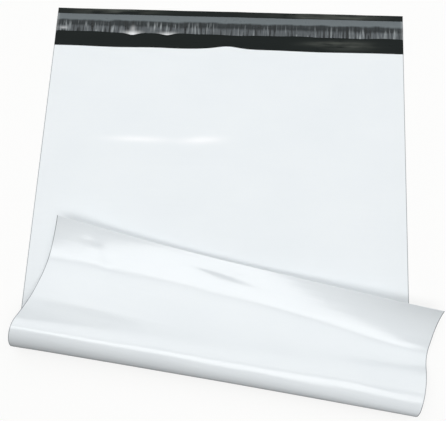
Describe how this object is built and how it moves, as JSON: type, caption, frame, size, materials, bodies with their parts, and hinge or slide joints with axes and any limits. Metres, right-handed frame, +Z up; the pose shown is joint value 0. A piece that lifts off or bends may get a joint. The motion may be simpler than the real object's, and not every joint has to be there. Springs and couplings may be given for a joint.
{
  "type": "poly mailer bag",
  "caption": "Opaque film mailer, white outside and dark inside, with an adhesive closure flap; empty, its bottom end folded loosely over the front.",
  "frame": {"origin": "centre of the bounding box of the bag as it lies, on the surface it lies on", "axes": "+Z up from the surface; +Y from the pocket towards the flap; +X along the mouth, to the right when the flap is at the far side"},
  "size_m": [0.5156, 0.5178, 0.0415],
  "materials": {
    "film": "satin white outer face, dark inner face",
    "hot_melt": "clear tacky hot melt on dark film",
    "liner": "translucent grey film, finely wrinkled"
  },
  "bodies": {
    "root": {"bag": "film", "adhesive_band": "hot_melt", "release_liner": "liner"}
  },
  "joints": []
}
